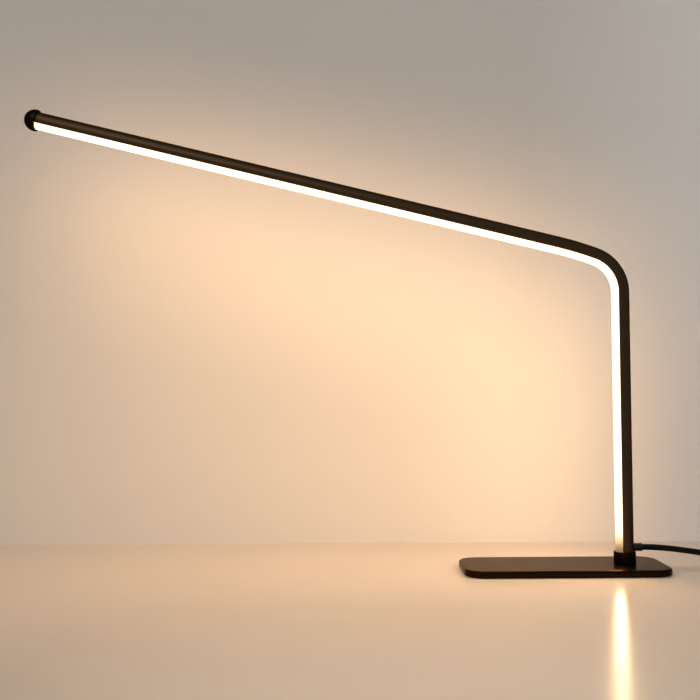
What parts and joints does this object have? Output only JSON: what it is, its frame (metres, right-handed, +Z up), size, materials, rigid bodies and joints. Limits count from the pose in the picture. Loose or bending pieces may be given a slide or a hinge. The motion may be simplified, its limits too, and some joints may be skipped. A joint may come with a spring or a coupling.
{
  "type": "desk lamp",
  "caption": "Slim LED desk lamp: round black channel bent into a post and a long arm, opal light strip along its inner side, oblong base, swivel, cord with dimmer and plug-in adapter.",
  "frame": {"origin": "on the swivel axis, at the underside of the base pad, on the table", "axes": "+Z up along the swivel axis, -X along the arm, +X along the cord, Y across the base"},
  "size_m": [0.9092, 0.1498, 0.5045],
  "materials": {
    "plate_paint": "matte",
    "pad_rubber": "matte",
    "black_anodised": "satin",
    "slide_plastic": "satin",
    "steel": "satin",
    "bare_aluminium": "satin",
    "opal_silicone": "matte",
    "strip_film": "satin",
    "led_phosphor": "gloss",
    "wire_sleeve": "satin",
    "grip_plastic": "satin",
    "brass": "satin",
    "cord_sheath": "satin",
    "case_plastic": "matte",
    "button_plastic": "matte",
    "board_laminate": "satin",
    "switch_plastic": "satin",
    "pin_nickel": "satin",
    "ferrite": "matte",
    "capacitor_can": "satin"
  },
  "bodies": {
    "base": {"base_plate": "plate_paint", "base_pad": "pad_rubber", "collar": "black_anodised", "pivot_bush": "slide_plastic", "stop_pin": "steel"},
    "arm": {"bent_channel": "black_anodised", "diffuser": "opal_silicone", "led_strip": "strip_film", "led_chips": "led_phosphor", "supply_wires": "wire_sleeve", "end_cap": "black_anodised", "post_foot": "bare_aluminium", "foot_screws": "steel", "pivot_bolt": "steel", "slide_washer": "slide_plastic", "disc_spring": "steel", "cord_grip": "grip_plastic", "grip_nut": "brass", "cord_stop": "steel", "jacket_end": "cord_sheath", "cord_lead": "cord_sheath", "dimmer_bottom": "case_plastic", "dimmer_top": "case_plastic", "dimmer_board": "board_laminate", "dimmer_switches": "switch_plastic", "dimmer_cores": "wire_sleeve", "dimmer_guards": "cord_sheath", "dimmer_screws": "steel", "cord_mid": "cord_sheath", "cord_coil": "cord_sheath", "cord_tail": "cord_sheath", "adapter_shell": "case_plastic", "adapter_face": "case_plastic", "adapter_pins": "pin_nickel", "adapter_board": "board_laminate", "adapter_transformer": "ferrite", "adapter_capacitors": "capacitor_can", "adapter_guard": "cord_sheath"},
    "power_button": {"button_power": "button_plastic"},
    "brighter_button": {"button_brighter": "button_plastic"},
    "dimmer_button": {"button_dimmer": "button_plastic"}
  },
  "joints": [
    {"name": "arm_swivel", "type": "hinge", "parent": "base", "child": "arm", "pos_m": [0, 0, 0.0099], "axis": [0, 0, 1], "range_deg": [-90, 90]},
    {"name": "power_press", "type": "slide", "parent": "arm", "child": "power_button", "axis": [0, 0, -1], "range_m": [0, 0.0005], "stiffness_N_per_m": 2000, "springref_m": -0.0005},
    {"name": "brighter_press", "type": "slide", "parent": "arm", "child": "brighter_button", "axis": [0, 0, -1], "range_m": [0, 0.0005], "stiffness_N_per_m": 2000, "springref_m": -0.0005},
    {"name": "dimmer_press", "type": "slide", "parent": "arm", "child": "dimmer_button", "axis": [0, 0, -1], "range_m": [0, 0.0005], "stiffness_N_per_m": 2000, "springref_m": -0.0005}
  ]
}
